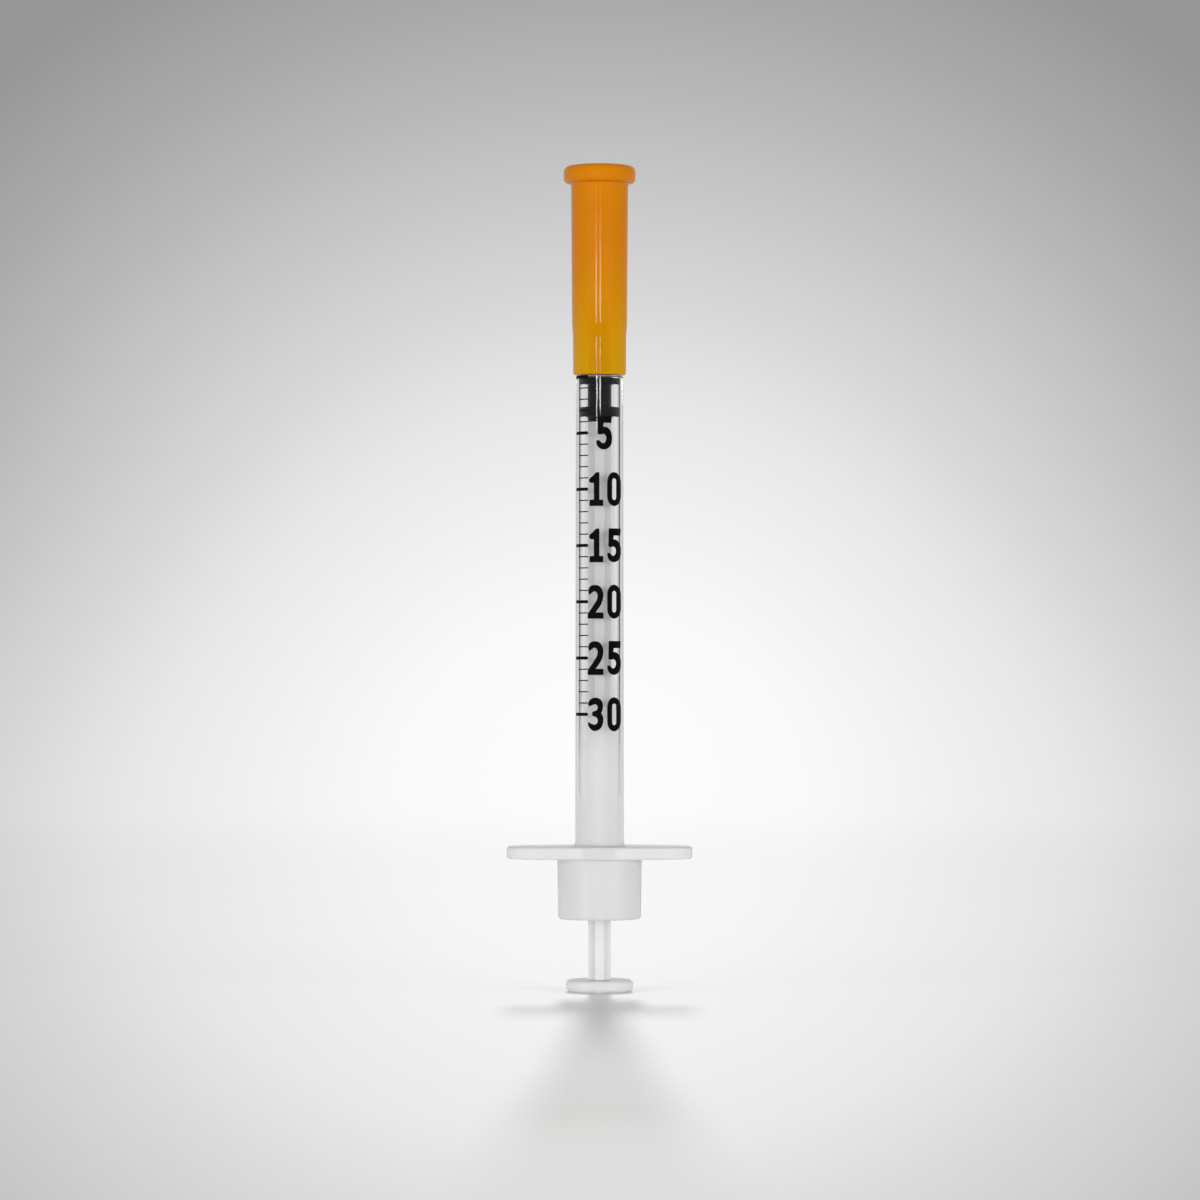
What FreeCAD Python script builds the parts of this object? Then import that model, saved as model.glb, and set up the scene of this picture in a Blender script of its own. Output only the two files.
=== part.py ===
import FreeCAD, Part
import math
import os
import Sketcher

# Insulin syringe for 0.30 mL, standing on its thumb pad, in millimetres.
# Z runs up the syringe axis from the foot of the thumb pad, X runs along the finger flange.

SIZES = {
    # Thumb pad and plunger rod
    "PadDiameter": 7.6,
    "PadThickness": 1.38,
    "PadRimRound": 0.6,
    "PadFootChamfer": 0.35,
    "RodWidth": 2.55,
    "RodRib": 1.1,
    "RodEdgeRound": 0.12,
    "EndPlate": 0.6,
    "NeckDiameter": 1.2,
    "NeckLength": 0.8,
    "BarbDiameter": 1.76,
    "BarbLand": 0.3,
    "BarbTipDiameter": 0.9,
    "BarbLength": 1.5,
    # Rubber stopper
    "StopperLength": 5.05,
    "StopperClearance": 0.03,
    "FrontRib": 0.85,
    "WaistLength": 2.45,
    "RearRib": 1.25,
    "WaistDiameter": 2.72,
    "RibChamfer": 0.1,
    # Rear collar and finger flange of the barrel
    "ThumbGap": 6.85,
    "CollarDepth": 6.8,
    "CollarRootDiameter": 9.6,
    "CollarMouthDiameter": 9.4,
    "CollarWall": 0.75,
    "CollarLipChamfer": 0.3,
    "FlangeLength": 21.0,
    "FlangeWaist": 10.8,
    "FlangeTip": 7.2,
    "FlangeWaistLength": 5.0,
    "FlangeRoot": 1.5,
    "FlangeEdge": 1.35,
    "FlangeCrownRound": 150.0,
    "FlangeWaistRound": 5.0,
    "FlangeTipRound": 2.8,
    "FlangeEdgeChamfer": 0.2,
    # Graduated tube of the barrel
    "BoreDiameter": 3.16,
    "TubeRootDiameter": 5.51,
    "TubeTipDiameter": 5.36,
    "TubeRootChamfer": 0.35,
    "TubeShoulderChamfer": 0.12,
    "ZeroAboveFlange": 53.17,
    "UnitPitch": 1.275,
    "ScaleUnits": 30,
    "SpareUnits": 3,
    "LeadInDiameter": 4.3,
    "LeadInDepth": 1.2,
    "RidgeRise": 0.08,
    "RidgeWidth": 0.6,
    "RidgeGap": 0.15,
    "HomeGap": 0.04,
    # Needle hub at the front of the barrel
    "FrontWall": 0.21,
    "HubDiameter": 3.9,
    "HubLength": 4.75,
    "HubCone": 0.6,
    "NoseRootDiameter": 2.1,
    "NoseTipDiameter": 1.8,
    "NoseLength": 2.0,
    "HubRibs": 6,
    "HubRibWidth": 0.45,
    "HubRibLength": 3.9,
    "WellDepth": 3.2,
    "WellMouthDiameter": 1.2,
    "WellFloorDiameter": 0.8,
    # Needle and the adhesive that holds it
    "NeedleDiameter": 0.3,
    "NeedleBore": 0.16,
    "NeedleReach": 8.0,
    "NeedleInset": 0.35,
    "NeedleBevelLength": 1.3,
    "BondCrown": 0.35,
    "BondCrownDiameter": 0.7,
    # Needle shield
    "SeatGap": 0.05,
    "HubClearance": 0.03,
    "ShieldLength": 23.8,
    "ShieldBore": 4.2,
    "ShieldSeatDepth": 5.4,
    "ShieldBoreStep": 3.9,
    "ShieldBoreEnd": 3.4,
    "ShieldCavityDepth": 21.0,
    "ShieldCavityChamfer": 0.4,
    "ShieldLeadIn": 0.25,
    "ShieldMouthDiameter": 6.0,
    "ShieldLipChamfer": 0.2,
    "ShieldLandLength": 4.3,
    "ShieldLandDiameter": 6.04,
    "ShieldStepLength": 1.4,
    "ShieldStepDiameter": 6.24,
    "ShieldNeckDiameter": 6.5,
    "ShieldFlangeDiameter": 8.18,
    "ShieldFlangeThickness": 2.0,
    "ShieldFlangeRound": 0.65,
    "GateDiameter": 2.4,
    "GateDepth": 0.25,
}


class Length:
    """A length that keeps its number together with the sheet expression behind it."""

    def __init__(self, number, text):
        self.number = number
        self.text = text

    def __add__(self, other):
        other = as_length(other)
        return Length(self.number + other.number, f"({self.text} + {other.text})")

    def __sub__(self, other):
        other = as_length(other)
        return Length(self.number - other.number, f"({self.text} - {other.text})")

    def __mul__(self, other):
        other = as_length(other)
        return Length(self.number * other.number, f"({self.text} * {other.text})")

    def __truediv__(self, other):
        other = as_length(other)
        return Length(self.number / other.number, f"({self.text} / {other.text})")

    def __neg__(self):
        return Length(-self.number, f"(0 - {self.text})")


def as_length(value):
    """Return a plain number as a Length, and a Length as it is."""
    if isinstance(value, Length):
        return value
    return Length(float(value), str(float(value)))


def make_sheet(doc):
    """Write the driving sizes to a spreadsheet and return them by name."""
    sheet = doc.addObject("Spreadsheet::Sheet", "Sizes")
    for row, (alias, number) in enumerate(SIZES.items(), start=1):
        sheet.set(f"A{row}", alias)
        sheet.set(f"B{row}", str(number))
        sheet.setAlias(f"B{row}", alias)
    doc.recompute()
    return {alias: Length(float(sheet.get(alias)), f"Sizes.{alias}") for alias in SIZES}


def new_body(doc, label, height=None):
    """Start a sub-part, raised to its height on the syringe axis."""
    body = doc.addObject("PartDesign::Body", label)
    body.Label = label
    if height is not None:
        body.setExpression("Placement.Base.z", height.text)
    return body


def new_sketch(body, name, role, raise_by=None):
    """Attach an empty sketch to one of the body's own origin planes."""
    plane = next(item for item in body.Origin.OriginFeatures if item.Role == role)
    sketch = body.newObject("Sketcher::SketchObject", name)
    sketch.AttachmentSupport = [(plane, "")]
    sketch.MapMode = "FlatFace"
    if raise_by is not None:
        sketch.setExpression("AttachmentOffset.Base.z", raise_by.text)
    return sketch


def bind(sketch, kind, places, length, name):
    """Add a dimension to a sketch and tie it to the sheet."""
    index = sketch.addConstraint(Sketcher.Constraint(kind, *places, length.number))
    sketch.renameConstraint(index, name)
    sketch.setExpression(f"Constraints.{name}", length.text)


def fix_point(sketch, geometry, vertex, across, up, name):
    """Hold a point at its distances from the sketch origin."""
    if across.number == 0:
        sketch.addConstraint(Sketcher.Constraint("PointOnObject", geometry, vertex, -2))
    else:
        bind(sketch, "DistanceX", (-1, 1, geometry, vertex), across, f"{name}_across")
    if up.number == 0:
        sketch.addConstraint(Sketcher.Constraint("PointOnObject", geometry, vertex, -1))
    else:
        bind(sketch, "DistanceY", (-1, 1, geometry, vertex), up, f"{name}_up")


def corner_arc(before, corner, after, radius):
    """Return the arc that rounds a corner, its ends in walking order and whether it turns left."""
    back = (before - corner).normalize()
    ahead = (after - corner).normalize()
    half_angle = back.getAngle(ahead) / 2
    reach = radius / math.tan(half_angle)
    start = corner + back * reach
    end = corner + ahead * reach
    centre = corner + (back + ahead).normalize() * (radius / math.sin(half_angle))
    turns_left = back.cross(ahead).z < 0
    first, last = (start, end) if turns_left else (end, start)
    angles = [math.atan2(point.y - centre.y, point.x - centre.x) for point in (first, last)]
    circle = Part.Circle(centre, FreeCAD.Vector(0, 0, 1), radius)
    return Part.ArcOfCircle(circle, *angles), start, end, turns_left


def draw_outline(sketch, corners, prefix="corner"):
    """Draw a closed outline through corners given as (across, up) or (across, up, round)."""
    corners = [tuple(as_length(value) for value in corner) for corner in corners]
    points = [FreeCAD.Vector(corner[0].number, corner[1].number, 0) for corner in corners]
    count = len(corners)
    rounds = []
    for index, corner in enumerate(corners):
        if len(corner) == 3:
            around = (points[index - 1], points[index], points[(index + 1) % count])
            rounds.append(corner_arc(*around, corner[2].number))
        else:
            rounds.append((None, points[index], points[index], False))

    lines = []
    for index in range(count):
        leaving, arriving = rounds[index][2], rounds[(index + 1) % count][1]
        lines.append(sketch.addGeometry(Part.LineSegment(leaving, arriving), False))

    for index, corner in enumerate(corners):
        name = f"{prefix}{index}"
        line_in, line_out = lines[index - 1], lines[index]
        arc, _, _, turns_left = rounds[index]
        if arc is None:
            sketch.addConstraint(Sketcher.Constraint("Coincident", line_in, 2, line_out, 1))
            fix_point(sketch, line_out, 1, corner[0], corner[1], name)
            continue
        curve = sketch.addGeometry(arc, False)
        mark = sketch.addGeometry(Part.Point(points[index]), True)
        entry, leave = (1, 2) if turns_left else (2, 1)
        sketch.addConstraint(Sketcher.Constraint("Tangent", line_in, 2, curve, entry))
        sketch.addConstraint(Sketcher.Constraint("Tangent", curve, leave, line_out, 1))
        sketch.addConstraint(Sketcher.Constraint("PointOnObject", mark, 1, line_in))
        sketch.addConstraint(Sketcher.Constraint("PointOnObject", mark, 1, line_out))
        bind(sketch, "Radius", (curve,), corner[2], f"{name}_round")
        fix_point(sketch, mark, 1, corner[0], corner[1], name)


def revolve(body, name, corners, kind="PartDesign::Revolution"):
    """Turn an outline drawn beside the syringe axis into a round solid, or into a round cut."""
    sketch = new_sketch(body, f"{name}_outline", "XZ_Plane")
    draw_outline(sketch, corners)
    feature = body.newObject(kind, name)
    feature.Profile = sketch
    feature.ReferenceAxis = (sketch, ["V_Axis"])
    feature.Angle = 360.0
    return feature


def pad(body, name, sketch, length):
    """Raise a sketch by a length."""
    feature = body.newObject("PartDesign::Pad", name)
    feature.Profile = sketch
    feature.setExpression("Length", length.text)
    return feature


def check_cut(doc, body, cut):
    """Stop if a cut took nothing away."""
    doc.recompute()
    if cut.Shape.Volume >= cut.BaseFeature.Shape.Volume - 1e-6:
        raise RuntimeError(f"{body.Label}: {cut.Name} removes nothing")


def heights(size):
    """Work out the levels that the pieces share, above the foot of the thumb pad."""
    level = {}
    level["collar_mouth"] = size["PadThickness"] + size["ThumbGap"]
    level["flange_under"] = level["collar_mouth"] + size["CollarDepth"]
    level["flange_top"] = level["flange_under"] + size["FlangeRoot"]
    level["zero"] = level["flange_top"] + size["ZeroAboveFlange"]
    level["stopper_rear"] = level["zero"] - size["StopperLength"]
    level["bore_end"] = level["zero"] + size["HomeGap"]
    level["shoulder"] = level["bore_end"] + size["FrontWall"]
    level["hub_top"] = level["shoulder"] + size["HubLength"]
    level["nose_root"] = level["hub_top"] + size["HubCone"]
    level["nose_tip"] = level["nose_root"] + size["NoseLength"]
    level["well_floor"] = level["nose_tip"] - size["WellDepth"]
    level["needle_rear"] = level["bore_end"] + size["NeedleInset"]
    level["needle_tip"] = level["nose_tip"] + size["NeedleReach"]
    level["shield_mouth"] = level["shoulder"] + size["SeatGap"]
    travel = (size["ScaleUnits"] + size["SpareUnits"]) * size["UnitPitch"]
    level["ridge_top"] = level["stopper_rear"] - travel - size["RidgeGap"]
    return level


def add_finger_flange(doc, body, size, up):
    """Two wings that thin out towards their ends, cut to a plan with a broad middle."""
    middle = (up["flange_under"] + up["flange_top"]) / 2
    half_length = size["FlangeLength"] / 2
    half_root, half_edge = size["FlangeRoot"] / 2, size["FlangeEdge"] / 2
    crown = size["FlangeCrownRound"]
    side = new_sketch(body, "flange_side", "XZ_Plane")
    draw_outline(side, [
        (-half_length, middle - half_edge),
        (0, middle - half_root, crown),
        (half_length, middle - half_edge),
        (half_length, middle + half_edge),
        (0, middle + half_root, crown),
        (-half_length, middle + half_edge),
    ])
    bar = pad(body, "flange_bar", side, size["FlangeWaist"])
    bar.Midplane = True

    plan = new_sketch(body, "flange_plan", "XY_Plane", middle)
    half_waist, half_tip = size["FlangeWaist"] / 2, size["FlangeTip"] / 2
    waist_end = size["FlangeWaistLength"] / 2
    waist_round, tip_round = size["FlangeWaistRound"], size["FlangeTipRound"]
    draw_outline(plan, [
        (half_length, -half_tip, tip_round),
        (half_length, half_tip, tip_round),
        (waist_end, half_waist, waist_round),
        (-waist_end, half_waist, waist_round),
        (-half_length, half_tip, tip_round),
        (-half_length, -half_tip, tip_round),
        (-waist_end, -half_waist, waist_round),
        (waist_end, -half_waist, waist_round),
    ])
    stock = size["FlangeLength"]
    draw_outline(plan, [(-stock, -stock), (stock, -stock), (stock, stock), (-stock, stock)], "stock")
    trim = body.newObject("PartDesign::Pocket", "flange_trim")
    trim.Profile = plan
    trim.Type = "ThroughAll"
    trim.Midplane = True
    check_cut(doc, body, trim)

    rim = body.newObject("PartDesign::Chamfer", "flange_rim")
    rim.Base = (trim, rim_edges(trim.Shape, middle.number, half_edge.number))
    rim.setExpression("Size", size["FlangeEdgeChamfer"].text)
    doc.recompute()


def rim_edges(shape, middle, half_edge):
    """Name the edges that run round the flange, as against those that stand upright in its rim."""
    names = []
    for index, edge in enumerate(shape.Edges, start=1):
        box = edge.BoundBox
        if box.ZLength < half_edge and abs(box.Center.z - middle) > half_edge / 2:
            names.append(f"Edge{index}")
    return names


def make_barrel(doc, size, up):
    """One clear moulding: rear collar, finger flange, graduated tube and needle hub."""
    body = new_body(doc, "barrel")
    add_finger_flange(doc, body, size, up)

    collar_root, collar_mouth = size["CollarRootDiameter"] / 2, size["CollarMouthDiameter"] / 2
    tube_root, tube_tip = size["TubeRootDiameter"] / 2, size["TubeTipDiameter"] / 2
    nose_root, nose_tip = size["NoseRootDiameter"] / 2, size["NoseTipDiameter"] / 2
    hub = size["HubDiameter"] / 2
    slope = (size["FlangeRoot"] - size["FlangeEdge"]) / size["FlangeLength"]
    over = up["flange_top"] - slope * tube_root
    lip, root, edge = size["CollarLipChamfer"], size["TubeRootChamfer"], size["TubeShoulderChamfer"]
    middle = (up["flange_under"] + up["flange_top"]) / 2
    revolve(body, "turned_outside", [
        (0, up["collar_mouth"]),
        (collar_mouth - lip, up["collar_mouth"]),
        (collar_mouth, up["collar_mouth"] + lip),
        (collar_root, middle),
        (tube_root + root, middle),
        (tube_root + root, over),
        (tube_root, over + root),
        (tube_tip, up["shoulder"] - edge),
        (tube_tip - edge, up["shoulder"]),
        (hub, up["shoulder"]),
        (hub, up["hub_top"]),
        (nose_root, up["nose_root"]),
        (nose_tip, up["nose_tip"]),
        (0, up["nose_tip"]),
    ])
    add_hub_ribs(doc, body, size, up)

    bore = size["BoreDiameter"] / 2
    ridge_low, ridge_mid = up["ridge_top"] - size["RidgeWidth"], up["ridge_top"] - size["RidgeWidth"] / 2
    cut = revolve(body, "hollow_inside", [
        (0, up["collar_mouth"]),
        (collar_mouth - size["CollarWall"], up["collar_mouth"]),
        (collar_mouth - size["CollarWall"], up["flange_under"]),
        (size["LeadInDiameter"] / 2, up["flange_under"]),
        (bore, up["flange_under"] + size["LeadInDepth"]),
        (bore, ridge_low),
        (bore - size["RidgeRise"], ridge_mid),
        (bore, up["ridge_top"]),
        (bore, up["bore_end"]),
        (size["NeedleDiameter"] / 2, up["bore_end"]),
        (size["NeedleDiameter"] / 2, up["well_floor"]),
        (size["WellFloorDiameter"] / 2, up["well_floor"]),
        (size["WellMouthDiameter"] / 2, up["nose_tip"]),
        (0, up["nose_tip"]),
    ], "PartDesign::Groove")
    check_cut(doc, body, cut)
    return body


def add_hub_ribs(doc, body, size, up):
    """Short splines round the hub that grip the needle shield."""
    crest = size["ShieldBore"] / 2 - size["HubClearance"]
    half_width = size["HubRibWidth"] / 2
    sketch = new_sketch(body, "hub_rib_section", "XY_Plane", up["shoulder"])
    draw_outline(sketch, [
        (size["NoseTipDiameter"] / 2, -half_width),
        (crest, -half_width),
        (crest, half_width),
        (size["NoseTipDiameter"] / 2, half_width),
    ])
    rib = pad(body, "hub_rib", sketch, size["HubRibLength"])
    doc.recompute()
    ring = body.newObject("PartDesign::PolarPattern", "hub_ribs")
    ring.Originals = [rib]
    ring.Axis = (sketch, ["N_Axis"])
    ring.Angle = 360.0
    ring.setExpression("Occurrences", size["HubRibs"].text)
    body.Tip = ring
    doc.recompute()


def eased_corner(rim, face, reach, inward):
    """Ease a rim's square corner with two facets that follow its round, from the rim to the face."""
    share = 1 - math.sqrt(0.5)
    return [(rim, face + inward), (rim - reach * share, face + inward * share), (rim - reach, face)]


def make_plunger_rod(doc, size, up):
    """Cross-shaped rod with its thumb pad, end plate and the barb that snaps into the stopper."""
    body = new_body(doc, "plunger_rod")
    pad_radius, pad_round = size["PadDiameter"] / 2, size["PadRimRound"]
    revolve(body, "thumb_pad", [
        (0, 0),
        (pad_radius - size["PadFootChamfer"], 0),
        (pad_radius, size["PadFootChamfer"]),
        *eased_corner(pad_radius, size["PadThickness"], pad_round, -pad_round),
        (0, size["PadThickness"]),
    ])

    half_width, half_rib = size["RodWidth"] / 2, size["RodRib"] / 2
    edge = size["RodEdgeRound"]
    plate_under = up["stopper_rear"] - size["EndPlate"]
    quarter = [(half_width, -half_rib, edge), (half_width, half_rib, edge), (half_rib, half_rib)]
    cross = []
    for _ in range(4):
        cross.extend(quarter)
        quarter = [(-corner[1], corner[0], *corner[2:]) for corner in quarter]
    section = new_sketch(body, "rod_section", "XY_Plane", size["PadThickness"])
    draw_outline(section, cross)
    pad(body, "cross_rod", section, plate_under - size["PadThickness"])

    neck, barb = size["NeckDiameter"] / 2, size["BarbDiameter"] / 2
    barb_under = up["stopper_rear"] + size["NeckLength"]
    revolve(body, "end_plate_and_barb", [
        (0, plate_under),
        (half_width, plate_under),
        (half_width, up["stopper_rear"]),
        (neck, up["stopper_rear"]),
        (neck, barb_under),
        (barb, barb_under),
        (barb, barb_under + size["BarbLand"]),
        (size["BarbTipDiameter"] / 2, barb_under + size["BarbLength"]),
        (0, barb_under + size["BarbLength"]),
    ])
    return body


def rib_outline(crest, low, high, chamfer):
    """Outline of one sealing rib, from its lower face to its upper one."""
    return [(crest - chamfer, low), (crest, low + chamfer), (crest, high - chamfer), (crest - chamfer, high)]


def make_stopper(doc, size, up):
    """Rubber stopper with two sealing ribs and an undercut pocket for the barb."""
    body = new_body(doc, "stopper", up["stopper_rear"])
    rib = size["BoreDiameter"] / 2 - size["StopperClearance"]
    waist = size["WaistDiameter"] / 2
    front = size["StopperLength"]
    waist_top = front - size["FrontRib"]
    waist_low = waist_top - size["WaistLength"]
    rib_low = waist_low - size["RearRib"]
    neck, barb = size["NeckDiameter"] / 2, size["BarbDiameter"] / 2
    pocket_end = size["NeckLength"] + size["BarbLength"]
    revolve(body, "moulding", [
        (neck, 0),
        (waist, 0),
        (waist, rib_low),
        *rib_outline(rib, rib_low, waist_low, size["RibChamfer"]),
        (waist, waist_low),
        (waist, waist_top),
        *rib_outline(rib, waist_top, front, size["RibChamfer"]),
        (0, front),
        (0, pocket_end),
        (size["BarbTipDiameter"] / 2, pocket_end),
        (barb, size["NeckLength"] + size["BarbLand"]),
        (barb, size["NeckLength"]),
        (neck, size["NeckLength"]),
    ])
    return body


def make_needle(doc, size, up):
    """Steel tube with a slanted point."""
    body = new_body(doc, "needle", up["needle_rear"])
    outer, inner = size["NeedleDiameter"] / 2, size["NeedleBore"] / 2
    length = up["needle_tip"] - up["needle_rear"]
    revolve(body, "tube", [(inner, 0), (outer, 0), (outer, length), (inner, length)])

    slant = new_sketch(body, "bevel_side", "XZ_Plane")
    draw_outline(slant, [
        (-outer, length),
        (outer, length - size["NeedleBevelLength"]),
        (outer + size["NeedleDiameter"], length - size["NeedleBevelLength"]),
        (outer + size["NeedleDiameter"], length + size["NeedleDiameter"]),
        (-outer, length + size["NeedleDiameter"]),
    ])
    bevel = body.newObject("PartDesign::Pocket", "bevel")
    bevel.Profile = slant
    bevel.Type = "ThroughAll"
    bevel.Midplane = True
    check_cut(doc, body, bevel)
    return body


def make_needle_bond(doc, size, up):
    """Adhesive that fills the well round the needle and stands in a low cone on the nose."""
    body = new_body(doc, "needle_bond", up["well_floor"])
    needle = size["NeedleDiameter"] / 2
    revolve(body, "fill", [
        (needle, 0),
        (size["WellFloorDiameter"] / 2, 0),
        (size["WellMouthDiameter"] / 2, size["WellDepth"]),
        (size["BondCrownDiameter"] / 2, size["WellDepth"] + size["BondCrown"] / 2),
        (needle, size["WellDepth"] + size["BondCrown"]),
    ])
    return body


def make_needle_shield(doc, size, up):
    """Closed cap with a flanged end, pushed over the hub down to the shoulder of the tube."""
    body = new_body(doc, "needle_shield", up["shield_mouth"])
    bore, step, end = size["ShieldBore"] / 2, size["ShieldBoreStep"] / 2, size["ShieldBoreEnd"] / 2
    cavity_edge, lead_in, lip = size["ShieldCavityChamfer"], size["ShieldLeadIn"], size["ShieldLipChamfer"]
    mouth = size["ShieldMouthDiameter"] / 2
    land, step_top = size["ShieldLandLength"], size["ShieldLandLength"] + size["ShieldStepLength"]
    neck = size["ShieldNeckDiameter"] / 2
    flange, flange_round = size["ShieldFlangeDiameter"] / 2, size["ShieldFlangeRound"]
    top = size["ShieldLength"]
    flange_under = top - size["ShieldFlangeThickness"]
    revolve(body, "cap", [
        (0, size["ShieldCavityDepth"]),
        (end - cavity_edge, size["ShieldCavityDepth"]),
        (end, size["ShieldCavityDepth"] - cavity_edge),
        (step, size["ShieldSeatDepth"] + (bore - step)),
        (bore, size["ShieldSeatDepth"]),
        (bore, lead_in),
        (bore + lead_in, 0),
        (mouth - lip, 0),
        (mouth, lip),
        (size["ShieldLandDiameter"] / 2, land),
        (size["ShieldStepDiameter"] / 2, step_top),
        (neck, flange_under),
        *reversed(eased_corner(flange, flange_under, flange_round, flange_round)),
        (flange, top, flange_round),
        (size["GateDiameter"] / 2, top),
        (size["GateDiameter"] / 2 - size["GateDepth"], top - size["GateDepth"]),
        (0, top - size["GateDepth"]),
    ])
    return body


def check_and_write(doc, bodies):
    """Stop on any failed object or broken shape, then write one file for each sub-part."""
    doc.recompute()
    failed = [item.Name for item in doc.Objects if "Invalid" in item.State or "Error" in item.State]
    if failed:
        raise RuntimeError("failed objects: " + ", ".join(failed))
    for body in bodies:
        if body.Shape.isNull() or not body.Shape.isValid() or len(body.Shape.Solids) != 1:
            raise RuntimeError(f"{body.Label}: the shape is not one valid solid")
    os.makedirs("parts", exist_ok=True)
    for body in bodies:
        body.Shape.exportStep(f"parts/{body.Label}.step")
        box = body.Shape.BoundBox
        print(f"{body.Label}: {body.Shape.Volume:.2f} mm3, z {box.ZMin:.2f} to {box.ZMax:.2f}")


def main():
    doc = FreeCAD.newDocument("insulin_syringe")
    size = make_sheet(doc)
    up = heights(size)
    makers = (make_barrel, make_plunger_rod, make_stopper, make_needle, make_needle_bond, make_needle_shield)
    bodies = [make(doc, size, up) for make in makers]
    check_and_write(doc, bodies)


main()
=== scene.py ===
"""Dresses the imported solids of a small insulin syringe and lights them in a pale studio."""

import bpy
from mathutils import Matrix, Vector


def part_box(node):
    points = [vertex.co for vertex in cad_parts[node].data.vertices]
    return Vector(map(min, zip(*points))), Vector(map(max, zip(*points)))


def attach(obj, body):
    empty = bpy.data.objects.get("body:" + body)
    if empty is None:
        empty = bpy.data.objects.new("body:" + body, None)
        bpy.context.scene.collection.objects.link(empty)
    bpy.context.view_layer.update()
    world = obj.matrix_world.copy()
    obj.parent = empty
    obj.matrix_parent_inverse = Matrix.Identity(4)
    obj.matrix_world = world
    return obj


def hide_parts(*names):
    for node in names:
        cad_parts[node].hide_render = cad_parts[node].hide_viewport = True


bl_info = {
    "name": "Insulin Syringe",
    "version": (1, 0, 0),
    "blender": (4, 5, 0),
    "location": "3D View > Sidebar > Syringe",
    "description": "Models the barrel with its scale, the plunger, the needle and its cap, and a studio",
    "category": "Object",
}

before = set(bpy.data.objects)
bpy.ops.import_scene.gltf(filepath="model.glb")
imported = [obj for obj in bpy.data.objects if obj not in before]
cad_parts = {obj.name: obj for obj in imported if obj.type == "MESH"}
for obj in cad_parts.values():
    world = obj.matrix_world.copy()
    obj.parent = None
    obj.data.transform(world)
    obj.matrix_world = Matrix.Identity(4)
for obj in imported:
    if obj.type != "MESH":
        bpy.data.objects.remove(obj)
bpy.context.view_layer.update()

import math

import bmesh
import bpy
from bpy.props import FloatProperty, FloatVectorProperty, IntProperty, PointerProperty
from bpy.types import Operator, Panel, PropertyGroup
from mathutils import Euler, Matrix, Vector

MM = 0.001
MERGE = 1e-7
ROUND_STEPS = 6
TURN_STEPS = 144
SHARP_ANGLE = math.radians(32)
SMALL_ROUND = 0.08 * MM


# Levels above the foot of the thumb pad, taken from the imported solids

def low(node):
    """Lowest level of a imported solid."""
    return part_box(node)[0].z


def high(node):
    """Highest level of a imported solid."""
    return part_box(node)[1].z


COLLAR_MOUTH = low("barrel")
NOSE_TIP = high("barrel")
ZERO = high("stopper")
STOPPER_REAR = low("stopper")
CAP_MOUTH = low("needle_shield")
CAP_TOP = high("needle_shield")
NEEDLE_REAR = low("needle")
NEEDLE_TIP = high("needle")
WELL_FLOOR = low("needle_bond")
BOND_TIP = high("needle_bond")
WING_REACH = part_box("barrel")[1].x
WAIST_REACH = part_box("barrel")[1].y
CAP_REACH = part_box("needle_shield")[1].x
PAD_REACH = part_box("plunger_rod")[1].x


# Settings

def length(name, description, millimetres):
    """A length that a user can change, given in millimetres."""
    return FloatProperty(name=name, description=description, default=millimetres * MM, unit="LENGTH",
                         precision=6)


def angle(name, description, degrees):
    """An angle that a user can change, given in degrees."""
    return FloatProperty(name=name, description=description, default=math.radians(degrees), unit="ROTATION")


def tint(name, description, colour):
    """A colour that a user can change."""
    return FloatVectorProperty(name=name, description=description, default=colour, size=3, subtype="COLOR")


def number(name, description, default):
    """A plain number that a user can change."""
    return FloatProperty(name=name, description=description, default=default)


def fraction(name, description, default):
    """A share from 0 to 1 that a user can change."""
    return FloatProperty(name=name, description=description, default=default, min=0.0, max=1.0,
                         subtype="FACTOR")


def count(name, description, default, least, most):
    """A whole number that a user can change."""
    return IntProperty(name=name, description=description, default=default, min=least, max=most)


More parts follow.
